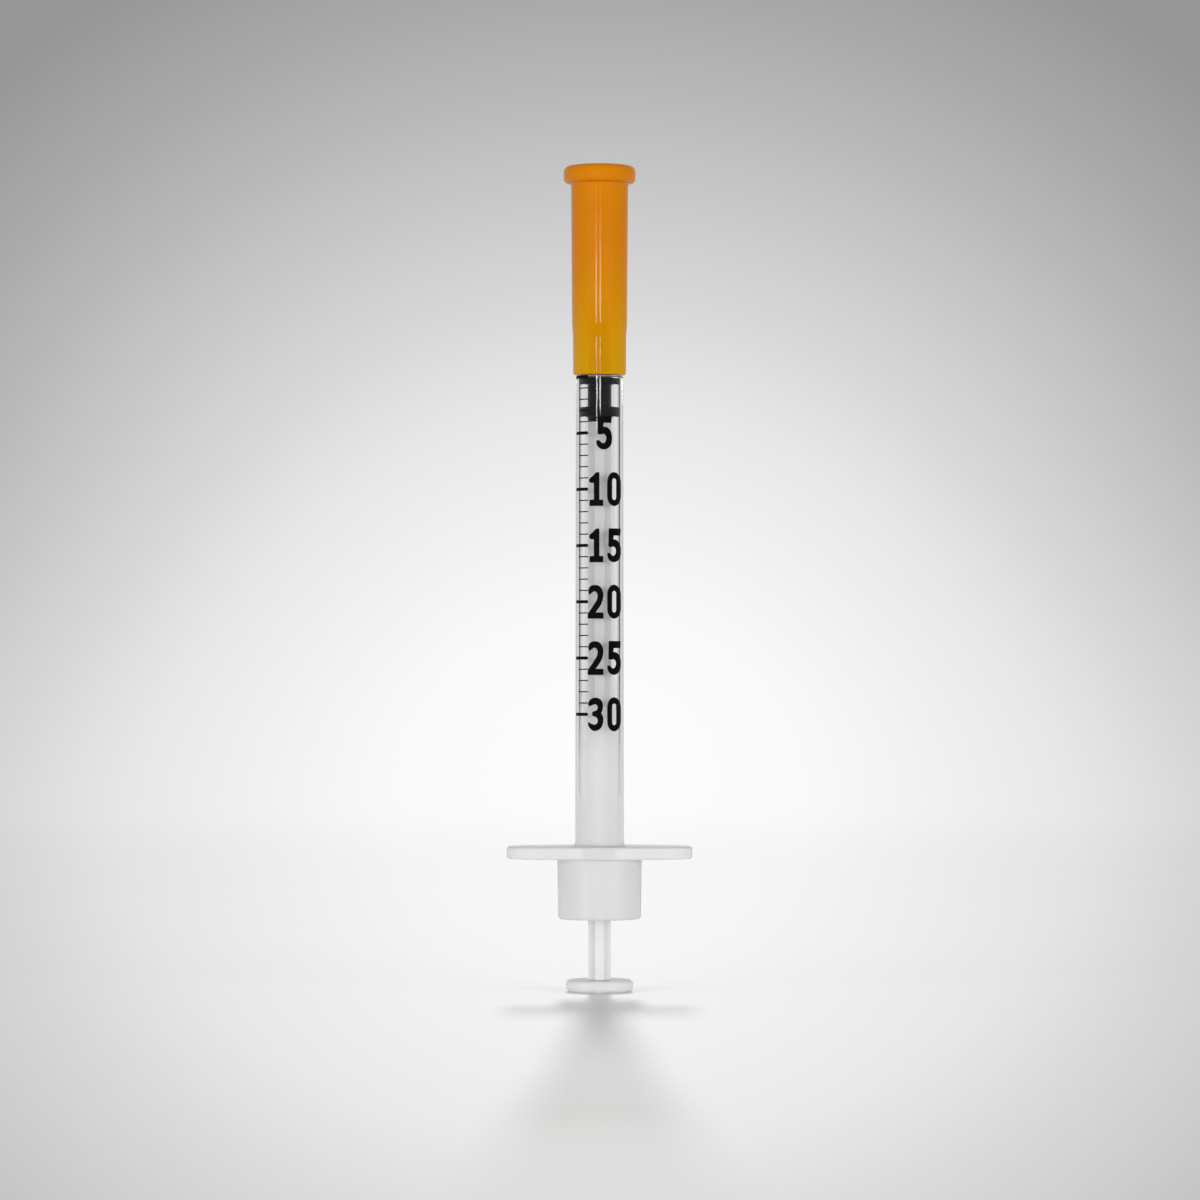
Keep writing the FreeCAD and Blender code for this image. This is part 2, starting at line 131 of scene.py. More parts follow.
class BarrelSettings(PropertyGroup):
    """Sizes and finish of the one-piece barrel."""

    collar_root: length("Collar Root", "Collar diameter under the finger flange", 9.6)
    collar_mouth: length("Collar Mouth", "Collar diameter at its open end", 9.4)
    collar_wall: length("Collar Wall", "Wall of the collar", 0.75)
    collar_depth: length("Collar Depth", "Collar mouth to the underside of the flange", 6.8)
    collar_round: length("Collar Round", "Round on the rim of the collar", 0.35)
    wing_root: length("Flange Root", "Thickness of the finger flange in the middle", 1.5)
    wing_edge: length("Flange Edge", "Thickness of the finger flange at its ends", 1.35)
    wing_tip: length("Flange Tip", "Depth of the finger flange at its ends", 7.2)
    wing_waist: length("Flange Waist", "Length of the broad middle of the flange", 5.0)
    wing_waist_round: length("Waist Round", "Plan radius at the broad middle", 5.0)
    wing_tip_round: length("Tip Round", "Plan radius at the flange ends", 2.8)
    wing_rim: length("Flange Rim", "Round along the rim of the flange", 0.28)
    bore: length("Bore", "Inside diameter of the tube", 3.16)
    tube_root: length("Tube Root", "Outside diameter of the tube at the flange", 5.51)
    tube_tip: length("Tube Tip", "Outside diameter of the tube at its shoulder", 5.36)
    root_fillet: length("Root Fillet", "Fillet between the tube and the flange", 0.5)
    lead_in: length("Lead-in", "Diameter of the funnel behind the bore", 4.3)
    lead_in_depth: length("Lead-in Depth", "Length of that funnel", 1.2)
    ridge_rise: length("Ridge Rise", "Height of the ridge that keeps the stopper in", 0.08)
    ridge_width: length("Ridge Width", "Width of that ridge", 0.6)
    ridge_top: length("Ridge Top", "Level of the ridge above the thumb pad's foot", 22.425)
    home_gap: length("Home Gap", "Gap between the stopper and the end of the bore", 0.04)
    seat_gap: length("Seat Gap", "Gap between the shoulder and the cap", 0.05)
    hub: length("Hub", "Diameter of the needle hub", 3.9)
    hub_length: length("Hub Length", "Length of the hub's straight part", 4.75)
    hub_cone: length("Hub Cone", "Height of the cone over the hub", 0.6)
    nose_root: length("Nose Root", "Diameter of the nose at the hub", 2.1)
    nose_tip: length("Nose Tip", "Diameter of the nose at its tip", 1.8)
    hub_ribs: count("Hub Ribs", "Splines round the hub", 6, 3, 24)
    rib_width: length("Rib Width", "Width of a spline", 0.45)
    rib_length: length("Rib Length", "Length of a spline", 3.9)
    rib_crest: length("Rib Crest", "Diameter over the splines", 4.14)
    well_mouth: length("Well Mouth", "Diameter of the glue well at the nose tip", 1.2)
    well_floor: length("Well Floor", "Diameter of the glue well at its floor", 0.8)
    clear_tint: tint("Clear Tint", "Tint of the clear tube", (0.955, 0.962, 0.955))
    milky_tint: tint("Milky Tint", "Colour of the flange and the collar", (0.83, 0.835, 0.83))
    clear_start: length("Clear Start", "Level above which the tube is clear", 36.0)
    milky_end: length("Milky End", "Level below which the barrel is milky", 25.0)
    haze: fraction("Haze", "Share of milky plastic in the clear tube", 0.004)
    index: number("Index", "Refractive index of the clear plastic", 1.49)


class ScaleSettings(PropertyGroup):
    """Sizes and ink of the printed scale."""

    pitch: length("Unit Pitch", "Distance between two unit marks", 1.275)
    units: count("Units", "Units on the scale", 30, 5, 100)
    step: count("Numbered Step", "Units between two numbered marks", 5, 1, 50)
    left: angle("Five Mark Start", "Angle at which a numbered mark starts", -76.0)
    unit_left: angle("Unit Mark Start", "Angle at which a unit mark starts", -60.0)
    right: angle("Mark End", "Angle at which the marks end", -28.5)
    five_line: length("Five Line", "Thickness of a numbered mark", 0.36)
    unit_line: length("Unit Line", "Thickness of a unit mark", 0.13)
    numeral_height: length("Numeral Height", "Height of the numerals", 3.85)
    digit_width: length("Digit Width", "Width of a digit as seen from the front", 1.80)
    far_width: length("Far Digit Width", "Width of a second digit seen from the front", 1.55)
    first_digit: length("First Digit", "Left side of the first of two digits", -1.35)
    second_digit: length("Second Digit", "Left side of the second digit", 0.86)
    single_digit: length("Single Digit", "Left side of a digit on its own", -0.39)
    ink_depth: length("Ink Depth", "How far the ink keys into the plastic", 0.008)
    ink_rise: length("Ink Rise", "How far the ink stands on the plastic", 0.014)
    ink: tint("Ink", "Colour of the printing ink", (0.002, 0.002, 0.002))


class PlungerSettings(PropertyGroup):
    """Sizes and finish of the stopper and the push rod."""

    rib_grip: length("Rib Grip", "How far the ribs press into the bore's wall", 0.01)
    front_rib: length("Front Rib", "Length of the front sealing rib", 0.85)
    waist_length: length("Waist Length", "Length between the two ribs", 2.45)
    rear_rib: length("Rear Rib", "Length of the rear sealing rib", 1.25)
    waist: length("Stopper Waist", "Diameter of the stopper between its ribs", 2.72)
    rib_round: length("Rib Round", "Round on the ribs", 0.12)
    pad_thickness: length("Pad Thickness", "Thickness of the thumb pad", 1.38)
    pad_rim: length("Pad Rim", "Round on the upper rim of the thumb pad", 0.5)
    pad_foot: length("Pad Foot", "Round on the foot of the thumb pad", 0.55)
    rod_width: length("Rod Width", "Width of the cross-shaped rod", 2.55)
    rod_rib: length("Rod Rib", "Thickness of the rod's ribs", 1.1)
    rod_round: length("Rod Edge", "Round along the edges of the ribs", 0.12)
    end_plate: length("End Plate", "Thickness of the plate behind the stopper", 0.6)
    neck: length("Neck", "Diameter of the neck in the stopper", 1.2)
    neck_length: length("Neck Length", "Length of that neck", 0.8)
    barb: length("Barb", "Diameter of the barb that holds the stopper", 1.76)
    barb_land: length("Barb Land", "Straight part of the barb", 0.3)
    barb_tip: length("Barb Tip", "Diameter of the barb's tip", 0.9)
    barb_length: length("Barb Length", "Length of the barb", 1.5)
    rubber: tint("Rubber", "Colour of the rubber", (0.006, 0.006, 0.007))
    rod_tint: tint("Rod", "Colour of the natural plastic of the rod", (0.81, 0.815, 0.81))


class NeedleSettings(PropertyGroup):
    """Sizes and finish of the needle and its adhesive."""

    diameter: length("Needle", "Outside diameter of the needle", 0.3)
    bore: length("Needle Bore", "Inside diameter of the needle", 0.16)
    bevel: length("Bevel", "Length of the slanted point", 1.3)
    crown: length("Bond Crown", "Diameter of the adhesive halfway up its cone", 0.7)
    steel: tint("Steel", "Colour of the steel", (0.78, 0.78, 0.79))


class CapSettings(PropertyGroup):
    """Sizes and finish of the needle cap."""

    bore: length("Cap Bore", "Bore that grips the hub", 4.2)
    bore_step: length("Bore Step", "Bore beyond the hub", 3.9)
    bore_end: length("Bore End", "Bore at the closed end", 3.4)
    seat_depth: length("Seat Depth", "Depth of the bore that grips the hub", 5.4)
    depth: length("Cavity Depth", "Depth of the whole cavity", 21.0)
    mouth: length("Mouth", "Outside diameter at the open end", 6.0)
    land: length("Land", "Outside diameter where the slim foot ends", 6.04)
    land_length: length("Land Length", "Length of the slim foot", 4.3)
    step: length("Step", "Outside diameter above the step", 6.24)
    step_length: length("Step Length", "Length of the step", 1.4)
    neck: length("Cap Neck", "Outside diameter under the flange", 6.5)
    neck_fillet: length("Neck Fillet", "Fillet under the flange", 0.25)
    flange: length("Cap Flange", "Thickness of the flange at the closed end", 2.0)
    flange_round: length("Flange Round", "Round on both rims of that flange", 0.65)
    lip_round: length("Lip Round", "Round on the open end", 0.25)
    gate: length("Gate", "Diameter of the moulding dimple on the end", 2.4)
    gate_depth: length("Gate Depth", "Depth of the moulding dimple", 0.25)
    orange: tint("Orange", "Colour of the thick closed end", (0.65, 0.215, 0.0))
    # Partly painted light: the thin wall's colour is made paler and yellower for the light that comes through
    # it
    golden: tint("Golden", "Colour of the thin wall over the hub", (0.66, 0.335, 0.0))
    through_tint: tint("Through Tint", "Colour of the light that comes through", (0.95, 0.68, 0.10))
    clarity: fraction("Clarity", "Share of light that passes straight through the wall", 0.35)


class StudioSettings(PropertyGroup):
    """Camera, backdrop and lamps."""

    camera_distance: length("Camera Distance", "Distance from the syringe's axis", 550)
    camera_height: length("Camera Height", "Height of the camera over the floor", 34)
    camera_aside: length("Camera Aside", "How far the camera stands to the right", 0.05)
    aim_height: length("Aim Height", "Height of the point in the picture's middle", 44.43)
    lens: number("Lens", "Focal length on a 36 mm sensor", 145.2)
    glow_height: angle("Glow Height", "Elevation of the backdrop's brightest spot", -0.93)
    glow_low: number("Glow Low", "Sideways squeeze of the glow below its middle", 0.76)
    glow_high: number("Glow High", "Sideways squeeze of the glow above its middle", 0.97)
    horizon: number("Horizon Light", "Strength of the soft light at eye level", 0.45)
    zenith: number("Zenith Light", "Strength of the light overhead", 0.22)
    floor_light: number("Floor Light", "Light on the floor, 1 shows its colour", 0.785)


# Shapes

def round_reach(before, corner, after, radius):
    """How far along its two sides a corner's round starts."""
    half_angle = (before - corner).angle(after - corner) / 2
    return radius / math.tan(half_angle)


def draw_wire(bm, corners, closed):
    """Lay a wire through corners given as (radius, height) or (radius, height, round), and round it."""
    points = [Vector((corner[0], 0, corner[1])) for corner in corners]
    verts = [bm.verts.new(point) for point in points]
    pairs = list(zip(verts, verts[1:]))
    if closed:
        pairs.append((verts[-1], verts[0]))
    for pair in pairs:
        bm.edges.new(pair)
    for index, corner in enumerate(corners):
        if len(corner) == 3:
            after = points[(index + 1) % len(points)]
            reach = round_reach(points[index - 1], points[index], after, corner[2])
            soften(bm, [verts[index]], reach, affect="VERTICES")


def soften(bm, geom, offset, segments=ROUND_STEPS, affect="EDGES"):
    """Round edges or vertices."""
    bmesh.ops.bevel(bm, geom=geom, offset=offset, offset_type="OFFSET", segments=segments, profile=0.5,
                    affect=affect, material=-1, clamp_overlap=affect == "EDGES")


def tidy(bm):
    """Merge doubles and turn all faces outwards."""
    bmesh.ops.remove_doubles(bm, verts=bm.verts, dist=MERGE)
    bmesh.ops.dissolve_degenerate(bm, edges=bm.edges, dist=MERGE)
    bmesh.ops.recalc_face_normals(bm, faces=bm.faces)


def filled_plan(corners):
    """A flat face inside a closed wire, given as (x, y) or (x, y, round)."""
    bm = bmesh.new()
    draw_wire(bm, corners, closed=True)
    bmesh.ops.rotate(bm, verts=bm.verts, cent=(0, 0, 0), matrix=Matrix.Rotation(-math.pi / 2, 3, "X"))
    bmesh.ops.contextual_create(bm, geom=bm.edges[:])
    return bm


def pull(bm, way):
    """Pull all faces out along a vector."""
    raised = bmesh.ops.extrude_face_region(bm, geom=bm.faces[:])
    moved = [item for item in raised["geom"] if isinstance(item, bmesh.types.BMVert)]
    bmesh.ops.translate(bm, verts=moved, vec=way)


def slice_at(bm, point, normal, dist=MERGE, clear_outer=False):
    """Cut all faces along a plane, and clear what lies beyond it if asked."""
    return bmesh.ops.bisect_plane(bm, geom=bm.verts[:] + bm.edges[:] + bm.faces[:], dist=dist,
                                  plane_co=point, plane_no=normal, clear_outer=clear_outer)


def turned(corners, closed=False, steps=TURN_STEPS):
    """Turn a wire round the syringe axis."""
    bm = bmesh.new()
    draw_wire(bm, corners, closed)
    bmesh.ops.spin(bm, geom=bm.verts[:] + bm.edges[:], cent=(0, 0, 0), axis=(0, 0, 1), dvec=(0, 0, 0),
                   angle=math.tau, steps=steps, use_merge=True, use_duplicate=False)
    tidy(bm)
    return bm


def as_object(name, bm):
    """Give a bmesh its object at the origin."""
    mesh = bpy.data.meshes.new(name)
    bm.to_mesh(mesh)
    bm.free()
    piece = bpy.data.objects.new(name, mesh)
    bpy.context.scene.collection.objects.link(piece)
    return piece


def combine(piece, tool, operation):
    """Unite a piece with a tool, or cut the tool from it, and keep only the result."""
    modifier = piece.modifiers.new("combine", "BOOLEAN")
    modifier.operation = operation
    modifier.solver = "EXACT"
    modifier.object = tool
    graph = bpy.context.evaluated_depsgraph_get()
    result = bpy.data.meshes.new_from_object(piece.evaluated_get(graph))
    old, tool_mesh = piece.data, tool.data
    piece.modifiers.clear()
    piece.data = result
    bpy.data.objects.remove(tool)
    bpy.data.meshes.remove(old)
    bpy.data.meshes.remove(tool_mesh)


def finish_piece(piece, body, materials, node=None):
    """Shade a piece, give it its finish and hang it on its body."""
    mesh = piece.data
    mesh.materials.clear()
    for material in materials:
        mesh.materials.append(material)
    mesh.polygons.foreach_set("use_smooth", [True] * len(mesh.polygons))
    mesh.set_sharp_from_angle(angle=SHARP_ANGLE)
    mesh.update()
    shading = piece.modifiers.new("shading", "WEIGHTED_NORMAL")
    shading.keep_sharp = True
    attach(piece, body)
    if node:
        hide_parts(node)


# Materials

def new_material(name):
    """Start a material and return it with its tree and its main shader."""
    material = bpy.data.materials.new(name)
    material.use_nodes = True
    tree = material.node_tree
    return material, tree, tree.nodes["Principled BSDF"]


def feed(tree, node, inputs):
    """Feed a node's inputs with numbers or other nodes' sockets."""
    for name, value in inputs.items():
        if isinstance(value, bpy.types.NodeSocket):
            tree.links.new(value, node.inputs[name])
        else:
            node.inputs[name].default_value = value


def made(tree, kind, inputs=None, **values):
    """Add a node, set its values, feed its inputs and return its first output."""
    node = tree.nodes.new("ShaderNode" + kind)
    for name, value in values.items():
        setattr(node, name, value)
    feed(tree, node, inputs or {})
    return node.outputs[0]


def reckon(tree, operation, first, second=0.0):
    """One sum with one or two numbers."""
    return made(tree, "Math", {0: first, 1: second}, operation=operation)


def between(tree, share, first, second):
    """A number between two others."""
    return made(tree, "Mix", {0: share, 2: first, 3: second})


def remap(tree, value, start, end, low_value=0.0, high_value=1.0, smooth=True):
    """Map a number from one range to another."""
    return made(tree, "MapRange", {"Value": value, "From Min": start, "From Max": end,
                                   "To Min": low_value, "To Max": high_value},
                interpolation_type="SMOOTHSTEP" if smooth else "LINEAR")


def grey(tree, value):
    """A grey colour from a number."""
    return made(tree, "CombineColor", {0: value, 1: value, 2: value})


def layered(tree, share, first, second):
    """A shader between two others."""
    return made(tree, "MixShader", {0: share, 1: first, 2: second})


def place_in(tree):
    """Object coordinates."""
    return made(tree, "TexCoord").node.outputs["Object"]


def part_of(tree, vector, axis):
    """One coordinate of a vector."""
    return made(tree, "SeparateXYZ", {0: vector}).node.outputs[axis]


def facing(tree):
    """A share that rises from 0 where a surface faces the eye to 1 at its outline."""
    return made(tree, "LayerWeight", {"Blend": 0.5}).node.outputs["Facing"]


def rays(tree, *kinds):
    """1 for rays of any of these kinds, 0 for others."""
    outputs = made(tree, "LightPath").node.outputs
    share = outputs[f"Is {kinds[0]} Ray"]
    for kind in kinds[1:]:
        share = reckon(tree, "MAXIMUM", share, outputs[f"Is {kind} Ray"])
    return share


def height_share(tree, start, end):
    """A share that rises smoothly from 0 at one level to 1 at another."""
    return remap(tree, part_of(tree, place_in(tree), "Z"), start, end)


def noise(tree, scale, detail=3.0, roughness=0.5, place=None):
    """Noise with its scale in cells per metre."""
    place = place_in(tree) if place is None else place
    return made(tree, "TexNoise", {"Vector": place, "Scale": scale, "Detail": detail, "Roughness": roughness})


def spread(tree, value, low_value, high_value):
    """Map noise to a range of values."""
    return remap(tree, value, 0.3, 0.7, low_value, high_value, smooth=False)


def blend_colours(tree, share, first, second):
    """Mix two colours."""
    node = made(tree, "Mix", {0: share}, data_type="RGBA").node
    feed(tree, node, {6: first, 7: second})
    return node.outputs[2]


def varied(tree, share, colour, first, second):
    """A colour that runs from one multiple of itself to another."""
    ends = [(*(channel * change for channel in colour), 1) for change in (first, second)]
    return blend_colours(tree, share, *ends)


def bump(tree, height, strength, distance):
    """A surface raised by a height."""
    return made(tree, "Bump", {"Height": height, "Strength": strength, "Distance": distance})


def show(tree, shader):
    """Make a shader the material's surface."""
    tree.links.new(shader, tree.nodes["Material Output"].inputs["Surface"])


def let_light_pass(tree, solid, veil):
    """Let soft light and shadows go straight through, weakened by a veil. The eye sees the solid shader."""
    passing = made(tree, "BsdfTransparent", {"Color": grey(tree, veil)})
    show(tree, layered(tree, rays(tree, "Shadow", "Diffuse"), solid, passing))


def barrel_plastic(settings, name, bore=False):
    """Clear moulded plastic that turns milky towards the finger flange and the hub."""
    material, tree, clear = new_material(name)
    flow = noise(tree, 260.0, 4.0, 0.55)
    feed(tree, clear, {"Base Color": varied(tree, flow, settings.clear_tint, 0.985, 1),
                       "Roughness": spread(tree, flow, 0.01, 0.03),
                       "IOR": settings.index, "Transmission Weight": 1.0})
    milk = varied(tree, flow, settings.milky_tint, 0.975, 1)
    milky = made(tree, "BsdfPrincipled", {"Base Color": milk, "Roughness": 0.45, "IOR": settings.index})
    body = layered(tree, 0.2, milky, made(tree, "BsdfTranslucent", {"Color": milk}))

    low_share = height_share(tree, settings.clear_start, settings.milky_end)
    hub_share = height_share(tree, CAP_MOUTH - 0.2 * MM, CAP_MOUTH + 0.6 * MM)
    share = reckon(tree, "MAXIMUM", low_share, hub_share)
    cloud = remap(tree, share, 0, 1, settings.haze, 0.68, smooth=False)
    solid = layered(tree, cloud, clear.outputs[0], body)
    # The bore's faces get a painted dark line of shade along their sides
    if bore:
        solid = bore_edge(tree, solid, share)
    milky_veil = between(tree, rays(tree, "Shadow"), 0.93, 0.68)
    clear_veil = between(tree, rays(tree, "Shadow"), 0.97, 0.82)
    let_light_pass(tree, solid, remap(tree, share, 0, 1, clear_veil, milky_veil, smooth=False))
    return material


def bore_edge(tree, solid, share):
    """Painted shade: a dark line along the bore's sides, put where total reflection shows no light."""
    inside = made(tree, "NewGeometry").node.outputs["Backfacing"]
    # Painted shade: dark grey mixed in where the inner faces of the bore are seen at a glance
    edge = reckon(tree, "MULTIPLY", remap(tree, facing(tree), 0.54, 0.74), inside)
    edge = reckon(tree, "MULTIPLY", edge, remap(tree, share, 0, 1, 0.85, 1.0, smooth=False))
    return layered(tree, edge, solid, made(tree, "BsdfDiffuse", {"Color": (0.05, 0.05, 0.05, 1)}))


def printing_ink(settings):
    """Satin black ink with a slightly uneven film."""
    material, tree, shader = new_material("printing_ink")
    film = noise(tree, 4200.0)
    feed(tree, shader, {"Base Color": varied(tree, film, settings.ink, 1, 2.2),
                        "Roughness": spread(tree, film, 0.42, 0.58), "Specular IOR Level": 0.1,
                        "Normal": bump(tree, film, 0.2, 0.01 * MM)})
    return material


def stopper_rubber(settings):
    """Moulded black rubber with a fine grain."""
    material, tree, shader = new_material("stopper_rubber")
    grain = noise(tree, 9000.0, 4.0, 0.6)
    feed(tree, shader, {"Base Color": varied(tree, noise(tree, 600.0, 2.0), settings.rubber, 1, 2),
                        "Roughness": spread(tree, grain, 0.12, 0.18), "Specular IOR Level": 0.15,
                        "Normal": bump(tree, grain, 0.06, 0.005 * MM)})
    return material


def rod_plastic(settings):
    """Natural translucent plastic of the push rod."""
    material, tree, shader = new_material("rod_plastic")
    flow = noise(tree, 420.0, 4.0, 0.55)
    colour = varied(tree, flow, settings.rod_tint, 0.97, 1)
    feed(tree, shader, {"Base Color": colour, "Roughness": spread(tree, flow, 0.5, 0.6),
                        "Specular IOR Level": 0.12,
                        "Normal": bump(tree, noise(tree, 2600.0, 2.0), 0.12, 0.01 * MM)})
    body = layered(tree, 0.25, shader.outputs[0], made(tree, "BsdfTranslucent", {"Color": colour}))
    let_light_pass(tree, body, between(tree, rays(tree, "Shadow"), 0.88, 0.45))
    return material


def needle_steel(settings):
    """Drawn steel with fine marks along the needle."""
    material, tree, shader = new_material("needle_steel")
    stretched = made(tree, "Mapping", {"Vector": place_in(tree), "Scale": (1.0, 1.0, 0.02)})
    marks = noise(tree, 30000.0, place=stretched)
    feed(tree, shader, {"Base Color": varied(tree, marks, settings.steel, 0.8, 1),
                        "Roughness": spread(tree, marks, 0.18, 0.34), "Metallic": 1.0})
    return material


def bond_adhesive():
    """Clear cured adhesive with a hint of cloud."""
    material, tree, shader = new_material("bond_adhesive")
    cloud = noise(tree, 2500.0)
    dull, bright = (0.85, 0.87, 0.84, 1), (0.93, 0.94, 0.92, 1)
    feed(tree, shader, {"Base Color": blend_colours(tree, cloud, dull, bright),
                        "Roughness": spread(tree, cloud, 0.06, 0.16), "IOR": 1.5,
                        "Transmission Weight": 0.85})
    return material


def cap_plastic(settings):
    """Glossy orange plastic that lets some light through, painted paler over the hub for light through the
    thin wall.
    """
    material, tree, shader = new_material("cap_plastic")
    flow = noise(tree, 340.0, 4.0)
    # Painted light: the colour runs from the paler golden of the thin wall at the mouth, lit through, to the
    # orange of the thick end
    rise = height_share(tree, CAP_MOUTH - 1.0 * MM, CAP_MOUTH + 16 * MM)
    deep, colour = [
        blend_colours(tree, rise, *((*(channel * share for channel in end), 1)
                                    for end in (settings.golden, settings.orange)))
        for share in (0.97, 1)]
    feed(tree, shader, {"Base Color": blend_colours(tree, flow, deep, colour),
                        "Roughness": spread(tree, flow, 0.07, 0.11), "Specular IOR Level": 0.25,
                        "Normal": bump(tree, noise(tree, 900.0, 2.0), 0.05, 0.02 * MM)})
    through = made(tree, "BsdfTranslucent", {"Color": colour})
    clear = made(tree, "BsdfTransparent", {"Color": (*settings.through_tint, 1)})
    body = layered(tree, 0.15, shader.outputs[0], through)
    straight = remap(tree, facing(tree), 0, 0.16, settings.clarity, 0.02)
    thin = remap(tree, rise, 0, 0.7, 1.0, 0.1, smooth=False)
    clarity = reckon(tree, "MULTIPLY", straight, thin)
    share = between(tree, rays(tree, "Shadow", "Diffuse"), clarity, 0.5)
    show(tree, layered(tree, share, body, clear))
    return material


# Barrel

RIM_ANGLE = math.radians(60)
# A radius inside the wall of the tube, where the flange's plate is cut off so that the bore stays open
IN_TUBE_WALL = 2.4 * MM


def barrel_body(settings):
    """Collar, tube and hub as one turned wall round the bore."""
    flange_under = COLLAR_MOUTH + settings.collar_depth
    flange_top = flange_under + settings.wing_root
    middle = (flange_under + flange_top) / 2
    slope = (settings.wing_root - settings.wing_edge) / 2 / WING_REACH
    tube_root, tube_tip = settings.tube_root / 2, settings.tube_tip / 2
    over = flange_top - slope * tube_root
    fillet_side = tube_root + settings.root_fillet * 1.02
    shoulder = CAP_MOUTH - settings.seat_gap
    hub_top = shoulder + settings.hub_length
    collar_inside = settings.collar_mouth / 2 - settings.collar_wall
    needle_hole = 0.147 * MM
    rim_round, hub_round, mouth_round = 0.15 * MM, 0.1 * MM, 0.2 * MM
    bore = settings.bore / 2
    ridge = settings.ridge_top
    return turned([
        (settings.collar_mouth / 2, COLLAR_MOUTH, settings.collar_round),
        (settings.collar_root / 2, middle),
        (fillet_side, middle),
        (fillet_side, over),
        (tube_root, over, settings.root_fillet),
        (tube_tip, shoulder, rim_round),
        (settings.hub / 2, shoulder),
        (settings.hub / 2, hub_top, hub_round),
        (settings.nose_root / 2, hub_top + settings.hub_cone),
        (settings.nose_tip / 2, NOSE_TIP, SMALL_ROUND),
        (settings.well_mouth / 2, NOSE_TIP),
        (settings.well_floor / 2, WELL_FLOOR),
        (needle_hole, WELL_FLOOR),
        (needle_hole, ZERO + settings.home_gap),
        (bore, ZERO + settings.home_gap),
        (bore, ridge),
        (bore - settings.ridge_rise, ridge - settings.ridge_width / 2),
        (bore, ridge - settings.ridge_width),
        (bore, flange_under + settings.lead_in_depth),
        (settings.lead_in / 2, flange_under, mouth_round),
        (collar_inside, flange_under, mouth_round),
        (collar_inside, COLLAR_MOUTH, rim_round),
    ], closed=True)


def finger_wings(settings):
    """Both wings as one plate, thinner at its ends, with a rounded rim."""
    quarter = [(WING_REACH, settings.wing_tip / 2, settings.wing_tip_round),
               (settings.wing_waist / 2, WAIST_REACH, settings.wing_waist_round)]
    plan = quarter + [(-x, y, r) for x, y, r in reversed(quarter)]
    plan += [(-x, -y, r) for x, y, r in quarter] + [(x, -y, r) for x, y, r in reversed(quarter)]
    bm = filled_plan(plan)
    pull(bm, (0, 0, 1))
    slice_at(bm, (0, 0, 0), (1, 0, 0))
    middle = COLLAR_MOUTH + settings.collar_depth + settings.wing_root / 2
    for vert in bm.verts:
        share = abs(vert.co.x) / WING_REACH
        half = (settings.wing_root + (settings.wing_edge - settings.wing_root) * share) / 2
        vert.co.z = middle + (half if vert.co.z > 0.5 else -half)
    tidy(bm)
    rim = [edge for edge in bm.edges if abs(edge.verts[0].co.z - middle) > 0
           and (edge.verts[0].co.z - middle) * (edge.verts[1].co.z - middle) > 0
           and len(edge.link_faces) == 2 and edge.calc_face_angle(0) > RIM_ANGLE]
    soften(bm, rim, settings.wing_rim)
    tidy(bm)
    return bm


def hub_splines(settings):
    """The splines that grip the cap, as boxes round the hub with softened edges."""
    shoulder = CAP_MOUTH - settings.seat_gap
    inner, outer, sink = settings.nose_tip / 2, settings.rib_crest / 2, 0.05 * MM
    bm = bmesh.new()
    for index in range(settings.hub_ribs):
        spline = bmesh.ops.create_cube(bm, size=1.0)["verts"]
        size = (outer - inner, settings.rib_width, settings.rib_length + 2 * sink)
        bmesh.ops.scale(bm, verts=spline, vec=size)
        centre = ((outer + inner) / 2, 0, shoulder + settings.rib_length / 2 - sink)
        bmesh.ops.translate(bm, verts=spline, vec=centre)
        turn = Matrix.Rotation(math.tau * index / settings.hub_ribs, 3, "Z")
        bmesh.ops.rotate(bm, verts=spline, cent=(0, 0, 0), matrix=turn)
    soften(bm, bm.edges[:], sink, segments=2)
    tidy(bm)
    return bm


# Printed scale

# Where a digit's rounds start: crisp ones in widths of the digit, soft ones as a share of the shorter side
CRISP_REACH = 0.03
SOFT_SHARE = 0.49
# Rounds on the ends of the marks, as shares of their thickness
FIVE_END = 0.46
UNIT_END = 0.2
# A 1 is narrower than other digits, and this share of the space it saves is on its left
ONE_WIDTH = 0.89
ONE_SHIFT = 0.8
WRAP_STEP = math.radians(3)


def tube_radius(settings, level):
    """Outside radius of the tube at a level."""
    start = COLLAR_MOUTH + settings.collar_depth + settings.wing_root
    end = CAP_MOUTH - settings.seat_gap
    share = (level - start) / (end - start)
    return (settings.tube_root + (settings.tube_tip - settings.tube_root) * share) / 2


def print_on_tube(bm, barrel, scale):
    """Thicken flat print and wrap it round the tube. Flat x is a length along the surface, z is the level."""
    reach = max(abs(vert.co.x) for vert in bm.verts)
    step = tube_radius(barrel, ZERO) * WRAP_STEP
    cuts = math.ceil(reach / step)
    for index in range(-cuts, cuts + 1):
        slice_at(bm, (index * step, 0, 0), (1, 0, 0))
    pull(bm, (0, -scale.ink_rise - scale.ink_depth, 0))
    for vert in bm.verts:
        across = tube_radius(barrel, vert.co.z)
        angle = vert.co.x / across
        shell = across - scale.ink_depth - vert.co.y
        vert.co = Vector((shell * math.sin(angle), -shell * math.cos(angle), vert.co.z))
    tidy(bm)


def flat_mark(bm, start, end, level, line, round_share):
    """A flat bar with rounded ends."""
    under, over = level - line / 2, level + line / 2
    points = [(start, under), (end, under), (end, over), (start, over)]
    verts = [bm.verts.new((x, 0, z)) for x, z in points]
    bm.faces.new(verts)
    soften(bm, verts, line * round_share, segments=4, affect="VERTICES")


def scale_marks(barrel, scale, numbered):
    """The numbered marks or the unit marks between them, flat and then wrapped."""
    start, line, end = scale.unit_left, scale.unit_line, UNIT_END
    if numbered:
        start, line, end = scale.left, scale.five_line, FIVE_END
    bm = bmesh.new()
    for unit in range(scale.units + 1):
        if (unit % scale.step == 0) is numbered:
            level = ZERO - unit * scale.pitch
            radius = tube_radius(barrel, level)
            flat_mark(bm, radius * start, radius * scale.right, level, line, end)
    print_on_tube(bm, barrel, scale)
    return bm


